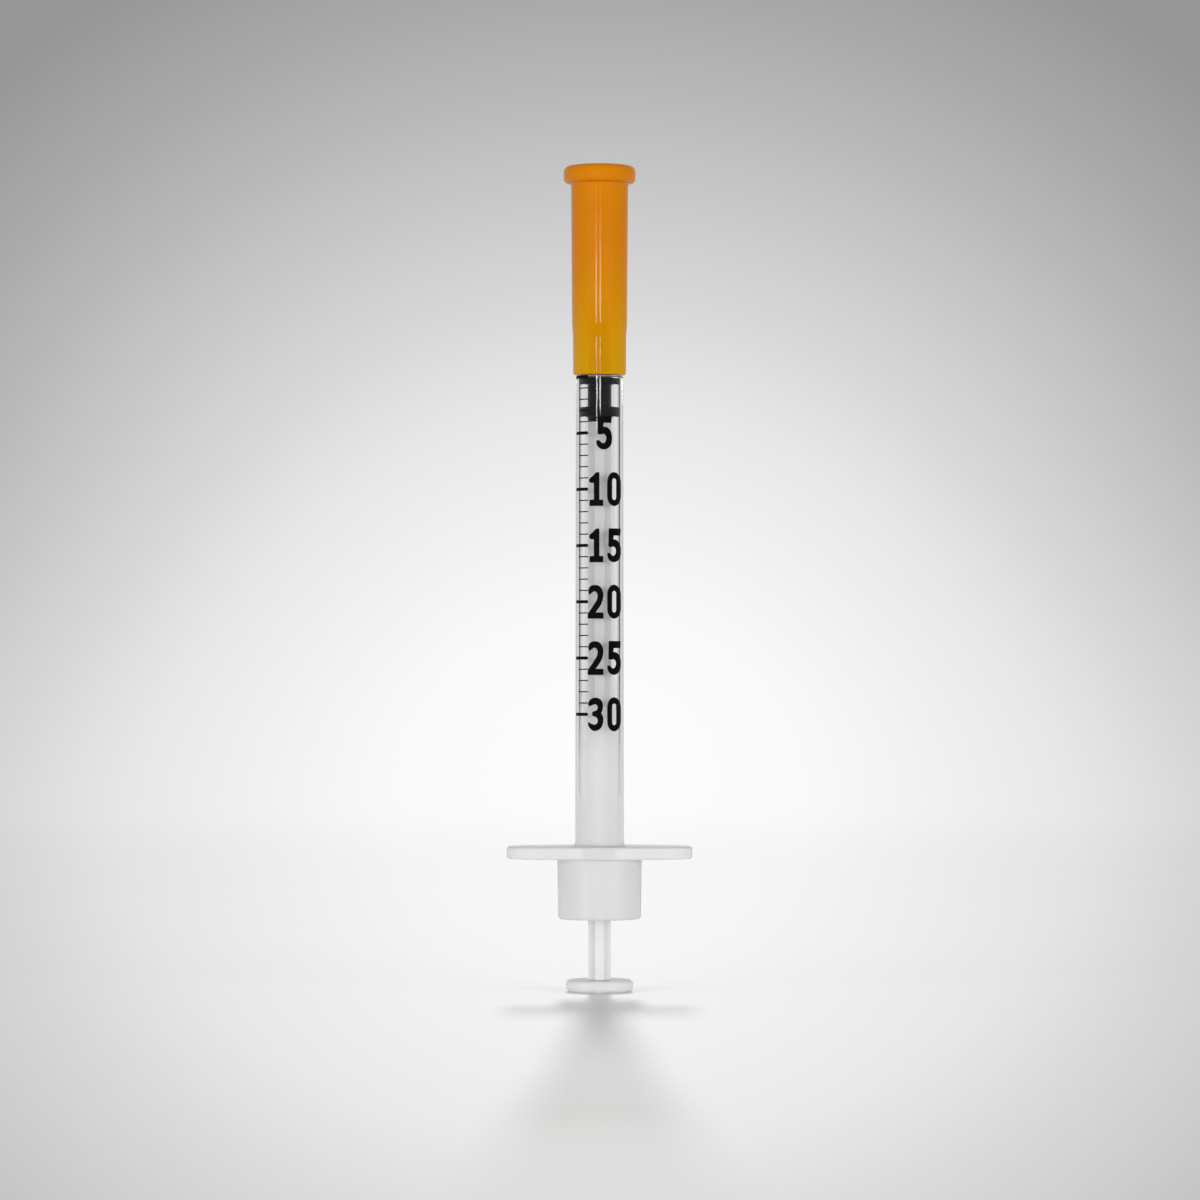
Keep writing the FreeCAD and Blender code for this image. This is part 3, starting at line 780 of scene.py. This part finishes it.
# Digits as outlines in a box one wide and one high, y first up to 1. A third value keeps a corner crisp.
DIGITS = {
    "0": [(0, 0), (1, 0), (1, 1), (0, 1)],
    "1": [(0.04, 0, 1), (1, 0, 1), (1, 0.185, 1), (0.735, 0.185, 1), (0.735, 0.975, 1), (0.65, 1),
          (0.45, 0.985), (0.27, 0.875), (0, 0.815), (0.02, 0.68), (0.34, 0.68, 1), (0.34, 0.185, 1),
          (0.04, 0.185, 1)],
    "2": [(0, 0, 1), (1, 0, 1), (0.99, 0.18, 1), (0.5, 0.18, 1), (0.85, 0.40), (0.99, 0.60), (0.99, 0.80),
          (0.78, 0.96), (0.48, 1), (0.2, 0.97), (0.06, 0.89), (0.05, 0.76), (0.13, 0.695, 1), (0.27, 0.77),
          (0.47, 0.815), (0.62, 0.74), (0.63, 0.61), (0.5, 0.48), (0.21, 0.28), (0, 0.14)],
    "3": [(0.26, 0.03), (0.47, 0), (0.81, 0.06), (0.99, 0.23), (0.99, 0.43), (0.86, 0.53, 1), (0.97, 0.68),
          (0.97, 0.83), (0.8, 0.96), (0.5, 1), (0.24, 0.97), (0.03, 0.87), (0.06, 0.73, 1), (0.26, 0.76),
          (0.47, 0.81), (0.64, 0.75), (0.63, 0.65), (0.5, 0.6), (0.31, 0.59), (0.26, 0.51), (0.33, 0.435),
          (0.5, 0.43), (0.64, 0.37), (0.64, 0.26), (0.47, 0.185), (0.24, 0.22), (0.04, 0.28, 1),
          (0.02, 0.16)],
    "5": [(0.27, 0.02), (0.47, 0), (0.7, 0.02), (0.93, 0.12), (1, 0.25), (1, 0.45), (0.87, 0.61),
          (0.62, 0.675), (0.44, 0.68, 1), (0.48, 0.79, 1), (0.96, 0.79, 1), (0.99, 1, 1), (0.11, 1, 1),
          (0.09, 0.465, 1), (0.27, 0.44), (0.5, 0.475), (0.63, 0.40), (0.65, 0.31), (0.57, 0.22),
          (0.44, 0.185), (0.31, 0.22), (0.2, 0.28, 1), (0.01, 0.28, 1), (0.02, 0.13)],
}
SLOT = [(0.36, 0.18), (0.66, 0.18), (0.66, 0.82), (0.36, 0.82)]


def digit_wire(bm, outline, stretch):
    """Lay a digit's outline and give each corner a round that its sides leave room for."""
    points = [Vector((corner[0], 0, corner[1] * stretch)) for corner in outline]
    corners = []
    for index, point in enumerate(points):
        before, after = points[index - 1], points[(index + 1) % len(points)]
        shorter_side = min((point - before).length, (after - point).length)
        reach = CRISP_REACH if len(outline[index]) == 3 else SOFT_SHARE * shorter_side
        half_angle = (before - point).angle(after - point) / 2
        corners.append((point.x, point.z, reach * math.tan(half_angle)))
    draw_wire(bm, corners, closed=True)
    return bm.edges[:]


def flat_digit(digit):
    """A digit as a flat mesh in a box one wide and one high."""
    bm = bmesh.new()
    if digit == "0":
        stretch = 1.6
        digit_wire(bm, DIGITS[digit], stretch)
        digit_wire(bm, SLOT, stretch)
        bmesh.ops.bridge_loops(bm, edges=bm.edges[:])
    else:
        stretch = 2.0
        digit_wire(bm, DIGITS[digit], stretch)
        bmesh.ops.contextual_create(bm, geom=bm.edges[:])
        bmesh.ops.triangulate(bm, faces=bm.faces[:])
    bmesh.ops.scale(bm, verts=bm.verts, vec=(1, 1, 1 / stretch))
    return bm


def scale_numerals(barrel, scale):
    """Numerals beside the numbered marks, flat as they look from the front and then wrapped."""
    bm = bmesh.new()
    for unit in range(scale.step, scale.units + 1, scale.step):
        level = ZERO - unit * scale.pitch
        digits = str(unit)
        places = [(scale.first_digit, scale.digit_width), (scale.second_digit, scale.far_width)]
        if len(digits) == 1:
            places = [(scale.single_digit, scale.digit_width)]
        for digit, (start, width) in zip(digits, places):
            part = flat_digit(digit)
            bmesh.ops.translate(part, verts=part.verts, vec=(0, 0, -0.5))
            narrow = ONE_WIDTH if digit == "1" else 1.0
            left = start + width * (1 - narrow) * ONE_SHIFT
            bmesh.ops.scale(part, verts=part.verts, vec=(width * narrow, 1, scale.numeral_height))
            bmesh.ops.translate(part, verts=part.verts, vec=(left, 0, level))
            mesh = bpy.data.meshes.new("digit")
            part.to_mesh(mesh)
            part.free()
            bm.from_mesh(mesh)
            bpy.data.meshes.remove(mesh)
    for vert in bm.verts:
        radius = tube_radius(barrel, vert.co.z)
        vert.co.x = radius * math.asin(vert.co.x / radius)
    print_on_tube(bm, barrel, scale)
    return bm


# Plunger

def barb_line(plunger):
    """The line from the neck at the stopper's rear to the tip of the barb in its pocket."""
    neck, barb, pocket = plunger.neck / 2, plunger.barb / 2, STOPPER_REAR + plunger.neck_length
    tip = pocket + plunger.barb_length
    return [(neck, STOPPER_REAR), (neck, pocket), (barb, pocket), (barb, pocket + plunger.barb_land),
            (plunger.barb_tip / 2, tip), (0, tip)]


def stopper_form(barrel, plunger):
    """Stopper with two ribs that touch the bore and a pocket round the rod's barb."""
    rib, waist = barrel.bore / 2 + plunger.rib_grip, plunger.waist / 2
    waist_top = ZERO - plunger.front_rib
    waist_low = waist_top - plunger.waist_length
    rib_low = waist_low - plunger.rear_rib
    return turned(barb_line(plunger)[::-1] + [
        (waist, STOPPER_REAR, SMALL_ROUND),
        (waist, rib_low, SMALL_ROUND),
        (rib, rib_low, plunger.rib_round),
        (rib, waist_low, plunger.rib_round),
        (waist, waist_low, plunger.rib_round),
        (waist, waist_top, plunger.rib_round),
        (rib, waist_top, plunger.rib_round),
        (rib, ZERO, plunger.rib_round),
        (0, ZERO),
    ])


def thumb_pad(plunger):
    """Round thumb pad."""
    return turned([
        (0, 0),
        (PAD_REACH, 0, plunger.pad_foot),
        (PAD_REACH, plunger.pad_thickness, plunger.pad_rim),
        (0, plunger.pad_thickness),
    ])


def cross_rod(plunger):
    """Cross-shaped rod with softened edges, from inside the pad to inside the end plate."""
    half, rib = plunger.rod_width / 2, plunger.rod_rib / 2
    corners = [(half, -rib, plunger.rod_round), (half, rib, plunger.rod_round), (rib, rib)]
    plan = []
    for _ in range(4):
        plan += corners
        corners = [(-corner[1], corner[0], *corner[2:]) for corner in corners]
    foot, top = plunger.pad_thickness / 2, STOPPER_REAR - plunger.end_plate / 2
    bm = filled_plan(plan)
    bmesh.ops.translate(bm, verts=bm.verts, vec=(0, 0, foot))
    pull(bm, (0, 0, top - foot))
    tidy(bm)
    return bm


def rod_head(plunger):
    """End plate, neck and barb."""
    half, low_side = plunger.rod_width / 2, STOPPER_REAR - plunger.end_plate
    plate = [(0, low_side), (half, low_side, SMALL_ROUND), (half, STOPPER_REAR, SMALL_ROUND)]
    return turned(plate + barb_line(plunger), steps=96)


# Needle and cap

def needle_form(needle):
    """Steel tube cut to a slanted point."""
    outer, inner = needle.diameter / 2, needle.bore / 2
    bm = turned([(inner, NEEDLE_REAR), (outer, NEEDLE_REAR), (outer, NEEDLE_TIP), (inner, NEEDLE_TIP)],
                closed=True, steps=48)
    normal = Vector((needle.bevel, 0, 2 * outer)).normalized()
    cut = slice_at(bm, (-outer, 0, NEEDLE_TIP), normal, dist=MERGE / 10, clear_outer=True)
    rims = [item for item in cut["geom_cut"] if isinstance(item, bmesh.types.BMEdge) and item.is_boundary]
    bmesh.ops.bridge_loops(bm, edges=rims)
    bmesh.ops.recalc_face_normals(bm, faces=bm.faces)
    return bm


def bond_form(barrel, needle):
    """Adhesive that fills the well and stands in a low cone round the needle."""
    inner = needle.diameter / 2 - 0.002 * MM
    return turned([
        (inner, WELL_FLOOR),
        (barrel.well_floor / 2, WELL_FLOOR),
        (barrel.well_mouth / 2, NOSE_TIP),
        (needle.crown / 2, (NOSE_TIP + BOND_TIP) / 2),
        (inner, BOND_TIP),
    ], closed=True, steps=72)


def cap_form(cap):
    """Closed cap with a stepped bore and a flanged end."""
    bore, step, end = cap.bore / 2, cap.bore_step / 2, cap.bore_end / 2
    flange_under = CAP_TOP - cap.flange
    end_round, mouth_round, step_round = 0.5 * MM, 0.25 * MM, 3 * MM
    return turned([
        (0, CAP_MOUTH + cap.depth),
        (end, CAP_MOUTH + cap.depth, end_round),
        (step, CAP_MOUTH + cap.seat_depth + (bore - step)),
        (bore, CAP_MOUTH + cap.seat_depth),
        (bore, CAP_MOUTH, mouth_round),
        (cap.mouth / 2, CAP_MOUTH, cap.lip_round),
        (cap.land / 2, CAP_MOUTH + cap.land_length, step_round),
        (cap.step / 2, CAP_MOUTH + cap.land_length + cap.step_length, step_round),
        (cap.neck / 2, flange_under, cap.neck_fillet),
        (CAP_REACH, flange_under, cap.flange_round),
        (CAP_REACH, CAP_TOP, cap.flange_round),
        (cap.gate / 2, CAP_TOP),
        (cap.gate / 2 - cap.gate_depth, CAP_TOP - cap.gate_depth),
        (0, CAP_TOP - cap.gate_depth),
    ])


# Studio: tones as (degrees from the glow's middle, tone)
GLOW = [(0, 0.985), (2.0, 0.945), (4.4, 0.80), (5.5, 0.69), (6.75, 0.585), (8.0, 0.48)]
WALL_TONES = GLOW + [(9.1, 0.40), (10.6, 0.31), (12, 0.30), (16, 0.56), (22, 0.76), (30, 0.79)]
FLOOR_TONES = GLOW + [(9.5, 0.52), (12, 0.64), (17, 0.74), (30, 0.79)]
GLASS_SIDE = [(0, 1.0), (55, 1.0), (85, 0.72), (104, 0.16), (120, 0.06), (180, 0.03)]
GLOSS_SIDE = [(0, 1.0), (40, 0.62), (85, 0.38), (110, 0.2), (180, 0.1)]
GLOW_REACH = 30.0
FULL_TURN_BACK = 180.0

# Lamps as name, azimuth and elevation in degrees, distance, width and height in metres, radiance, and the
# level that they face. Azimuth 0 stands behind the camera.
HIDDEN_LAMPS = [
    ("back_softbox", 180, 25, 60.0, 4.4, 12.4, 190.0, 0.0),
    ("left_fill", -44, 8, 3.0, 2.4, 0.8, 7.4, 0.0),
    ("right_fill", 44, 8, 3.0, 2.4, 0.8, 7.4, 0.0),
]
MIRRORED_LAMPS = [
    ("front_strip_left", -14, 0, 0.62, 0.07, 0.034, 11.0, 116.5 * MM),
    ("front_strip_right", 3, 0, 0.62, 0.07, 0.034, 11.0, 116.5 * MM),
]
FLOOR_REACH = 0.9
FLOOR_FADE = (0.3, 0.85)
PAPER_WHITE = 0.86
SENSOR_WIDTH = 36.0


def tone_ramp(tree, angle_from_glow, reach, stops):
    """Grey tones over an angle, given as (degrees, tone) up to a reach in degrees."""
    share = remap(tree, angle_from_glow, 0, math.radians(reach), smooth=False)
    ramp = made(tree, "ValToRGB", {"Fac": share})
    elements = ramp.node.color_ramp.elements
    while len(elements) < len(stops):
        elements.new(1.0)
    for element, (degrees, tone) in zip(elements, stops):
        element.position = degrees / reach
        element.color = (tone, tone, tone, 1)
    return ramp


def backdrop_tone(tree, direction, studio, stops):
    """The backdrop's tone in a direction, and that direction's angle from the glow."""
    levelled = made(tree, "Mapping", {"Vector": direction, "Rotation": Euler((-studio.glow_height, 0, 0))})
    ahead, up = part_of(tree, levelled, "Y"), part_of(tree, levelled, "Z")
    squeeze = remap(tree, up, -0.026, 0.07, studio.glow_low, studio.glow_high)
    across = reckon(tree, "MULTIPLY", part_of(tree, levelled, "X"), squeeze)
    oval = made(tree, "CombineXYZ", {0: across, 1: ahead, 2: up})
    straight = made(tree, "VectorMath", {0: oval}, operation="NORMALIZE")
    away = reckon(tree, "ARCCOSINE", part_of(tree, straight, "Y"))
    return tone_ramp(tree, away, GLOW_REACH, stops), away


def backdrop_world(studio):
    """Pale world: soft white light, and a glow behind the syringe for camera, gloss and glass rays."""
    world = bpy.data.worlds.new("studio")
    bpy.context.scene.world = world
    world.use_nodes = True
    tree = world.node_tree
    tree.nodes.clear()
    direction = made(tree, "TexCoord").node.outputs["Generated"]
    tone, away = backdrop_tone(tree, direction, studio, WALL_TONES)
    glass_side = tone_ramp(tree, away, FULL_TURN_BACK, GLASS_SIDE)
    gloss_side = tone_ramp(tree, away, FULL_TURN_BACK, GLOSS_SIDE)
    mirrored = made(tree, "LightPath").node.outputs["Glossy Depth"]
    glass = between(tree, reckon(tree, "GREATER_THAN", mirrored, 0.5), 1.0, glass_side)
    side = between(tree, rays(tree, "Transmission"), gloss_side, glass)
    side = reckon(tree, "MAXIMUM", side, rays(tree, "Camera"))
    seen_tone = reckon(tree, "MULTIPLY", tone, side)
    sky = remap(tree, part_of(tree, direction, "Z"), 0, 0.8, studio.horizon, studio.zenith, smooth=False)
    white = (1, 1, 1, 1)
    seen = made(tree, "Background", {"Color": white, "Strength": seen_tone})
    soft = made(tree, "Background", {"Color": white, "Strength": sky})
    mixed = layered(tree, rays(tree, "Camera", "Glossy", "Transmission"), soft, seen)
    output = tree.nodes.new("ShaderNodeOutputWorld")
    tree.links.new(mixed, output.inputs[0])


def add_lamp(name, azimuth, elevation, distance, width, height, radiance, level, mirrored):
    """A soft lamp that faces the syringe's axis at a level. Gloss and glass show it only if asked."""
    data = bpy.data.lights.new(name, "AREA")
    data.shape = "ELLIPSE" if mirrored else "RECTANGLE"
    data.size = width
    data.size_y = height
    data.energy = radiance * math.pi * width * height
    around = Euler((-math.radians(elevation), 0, math.radians(azimuth))).to_matrix() @ Vector((0, -1, 0))
    lamp = bpy.data.objects.new(name, data)
    lamp.location = Vector((0, 0, level)) + around * distance
    lamp.rotation_mode = "QUATERNION"
    lamp.rotation_quaternion = (-around).to_track_quat("-Z", "Y")
    lamp.visible_camera = False
    lamp.visible_glossy = lamp.visible_transmission = mirrored
    bpy.context.scene.collection.objects.link(lamp)


def studio_floor(studio):
    """Round pale floor that takes the shadow, has the backdrop's tone as a painted glow for the camera, and
    fades into it.

    The syringe stands on its thumb pad, so the floor stays under the pad when the rod is drawn back.
    """
    bm = bmesh.new()
    bmesh.ops.create_circle(bm, cap_ends=True, segments=96, radius=FLOOR_REACH)
    floor = as_object("studio_floor", bm)
    material, tree, _ = new_material("floor_paper")
    place = place_in(tree)
    camera = (studio.camera_aside, -studio.camera_distance, studio.camera_height)
    sight = made(tree, "VectorMath", {0: place, 1: camera}, operation="SUBTRACT")
    sight = made(tree, "VectorMath", {0: sight}, operation="NORMALIZE")
    # Painted glow: seen by the camera, the floor's colour is the backdrop's tone divided by its light,
    # brightest behind the syringe
    tone, _ = backdrop_tone(tree, sight, studio, FLOOR_TONES)
    level = reckon(tree, "DIVIDE", tone, studio.floor_light)
    paper_and_glow = between(tree, rays(tree, "Camera"), PAPER_WHITE, level)
    paper_and_glow = reckon(tree, "MULTIPLY", paper_and_glow, spread(tree, noise(tree, 500.0), 0.99, 1.0))
    paper = made(tree, "BsdfDiffuse", {"Color": grey(tree, paper_and_glow)})
    reach = made(tree, "VectorMath", {0: place}, operation="LENGTH").node.outputs["Value"]
    fade = remap(tree, reach, *FLOOR_FADE)
    open_share = reckon(tree, "MAXIMUM", rays(tree, "Glossy", "Transmission"), fade)
    show(tree, layered(tree, open_share, paper, made(tree, "BsdfTransparent")))
    floor.data.materials.append(material)
    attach(floor, "plunger")


def place_camera(studio):
    """Long lens at the height of the lower tube."""
    data = bpy.data.cameras.new("camera")
    data.lens = studio.lens
    data.sensor_width = SENSOR_WIDTH
    data.clip_start = 0.01
    data.clip_end = 20.0
    camera = bpy.data.objects.new("camera", data)
    camera.location = (studio.camera_aside, -studio.camera_distance, studio.camera_height)
    aim = Vector((studio.camera_aside, 0, studio.aim_height)) - camera.location
    camera.rotation_mode = "QUATERNION"
    camera.rotation_quaternion = aim.to_track_quat("-Z", "Y")
    bpy.context.scene.collection.objects.link(camera)
    bpy.context.scene.camera = camera


# Operators

class SYRINGE_OT_barrel(Operator):
    """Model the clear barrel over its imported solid"""

    bl_idname = "syringe.barrel"
    bl_label = "Barrel"

    def execute(self, context):
        settings = context.scene.syringe_barrel
        piece = as_object("barrel_moulding", barrel_body(settings))
        plate = as_object("wing_plate", finger_wings(settings))
        hole = turned([(0, COLLAR_MOUTH), (IN_TUBE_WALL, COLLAR_MOUTH), (IN_TUBE_WALL, NOSE_TIP),
                       (0, NOSE_TIP)])
        combine(plate, as_object("wing_hole", hole), "DIFFERENCE")
        combine(piece, plate, "UNION")
        combine(piece, as_object("splines", hub_splines(settings)), "UNION")
        finishes = [barrel_plastic(settings, "barrel_plastic"),
                    barrel_plastic(settings, "barrel_bore", bore=True)]
        finish_piece(piece, "barrel", finishes, node="barrel")
        for face in piece.data.polygons:
            radius = math.hypot(face.center.x, face.center.y)
            if abs(radius - settings.bore / 2) < 0.02 * MM and settings.ridge_top < face.center.z < ZERO:
                face.material_index = 1
        return {"FINISHED"}


class SYRINGE_OT_scale(Operator):
    """Print the marks and numerals on the tube"""

    bl_idname = "syringe.scale"
    bl_label = "Scale"

    def execute(self, context):
        barrel, scale = context.scene.syringe_barrel, context.scene.syringe_scale
        ink = printing_ink(scale)
        for name, form in (("scale_fives", scale_marks(barrel, scale, True)),
                           ("scale_units", scale_marks(barrel, scale, False)),
                           ("scale_numerals", scale_numerals(barrel, scale))):
            finish_piece(as_object(name, form), "barrel", [ink])
        return {"FINISHED"}


class SYRINGE_OT_plunger(Operator):
    """Model the rubber stopper and the push rod"""

    bl_idname = "syringe.plunger"
    bl_label = "Plunger"

    def execute(self, context):
        barrel, plunger = context.scene.syringe_barrel, context.scene.syringe_plunger
        stopper = as_object("rubber_stopper", stopper_form(barrel, plunger))
        finish_piece(stopper, "plunger", [stopper_rubber(plunger)], node="stopper")
        rod = as_object("push_rod", thumb_pad(plunger))
        combine(rod, as_object("cross", cross_rod(plunger)), "UNION")
        combine(rod, as_object("head", rod_head(plunger)), "UNION")
        finish_piece(rod, "plunger", [rod_plastic(plunger)], node="plunger_rod")
        return {"FINISHED"}


class SYRINGE_OT_needle(Operator):
    """Model the needle and the adhesive that holds it"""

    bl_idname = "syringe.needle"
    bl_label = "Needle"

    def execute(self, context):
        barrel, needle = context.scene.syringe_barrel, context.scene.syringe_needle
        tube = as_object("needle_tube", needle_form(needle))
        finish_piece(tube, "barrel", [needle_steel(needle)], node="needle")
        bond = as_object("needle_adhesive", bond_form(barrel, needle))
        finish_piece(bond, "barrel", [bond_adhesive()], node="needle_bond")
        return {"FINISHED"}


class SYRINGE_OT_cap(Operator):
    """Model the orange needle cap"""

    bl_idname = "syringe.cap"
    bl_label = "Needle Cap"

    def execute(self, context):
        cap = context.scene.syringe_cap
        piece = as_object("needle_cap", cap_form(cap))
        finish_piece(piece, "shield", [cap_plastic(cap)], node="needle_shield")
        return {"FINISHED"}


class SYRINGE_OT_studio(Operator):
    """Set the floor, backdrop, lamps and camera"""

    bl_idname = "syringe.studio"
    bl_label = "Studio"

    def execute(self, context):
        studio = context.scene.syringe_studio
        context.scene.view_settings.view_transform = "Standard"
        backdrop_world(studio)
        studio_floor(studio)
        for lamp in HIDDEN_LAMPS:
            add_lamp(*lamp, mirrored=False)
        for lamp in MIRRORED_LAMPS:
            add_lamp(*lamp, mirrored=True)
        place_camera(studio)
        return {"FINISHED"}


class VIEW3D_PT_syringe(Panel):
    """Buttons and sizes of the syringe"""

    bl_label = "Insulin Syringe"
    bl_idname = "VIEW3D_PT_syringe"
    bl_space_type = "VIEW_3D"
    bl_region_type = "UI"
    bl_category = "Syringe"

    def draw(self, context):
        layout = self.layout
        for operator in OPERATORS:
            layout.operator(operator.bl_idname)
        for name, group in GROUPS.items():
            box = layout.box()
            settings = getattr(context.scene, name)
            for prop in group.__annotations__:
                box.prop(settings, prop)


GROUPS = {
    "syringe_barrel": BarrelSettings,
    "syringe_scale": ScaleSettings,
    "syringe_plunger": PlungerSettings,
    "syringe_needle": NeedleSettings,
    "syringe_cap": CapSettings,
    "syringe_studio": StudioSettings,
}
OPERATORS = (SYRINGE_OT_barrel, SYRINGE_OT_scale, SYRINGE_OT_plunger, SYRINGE_OT_needle, SYRINGE_OT_cap,
             SYRINGE_OT_studio)
CLASSES = (*GROUPS.values(), *OPERATORS, VIEW3D_PT_syringe)


def register():
    """Register the classes and hang their settings on the scene."""
    for member in CLASSES:
        bpy.utils.register_class(member)
    for name, group in GROUPS.items():
        setattr(bpy.types.Scene, name, PointerProperty(type=group))


def unregister():
    """Undo register."""
    for name in GROUPS:
        delattr(bpy.types.Scene, name)
    for member in reversed(CLASSES):
        bpy.utils.unregister_class(member)


def main():
    """Build every piece in order."""
    register()
    bpy.ops.syringe.barrel()
    bpy.ops.syringe.scale()
    bpy.ops.syringe.plunger()
    bpy.ops.syringe.needle()
    bpy.ops.syringe.cap()
    bpy.ops.syringe.studio()


if __name__ == "__main__":
    main()
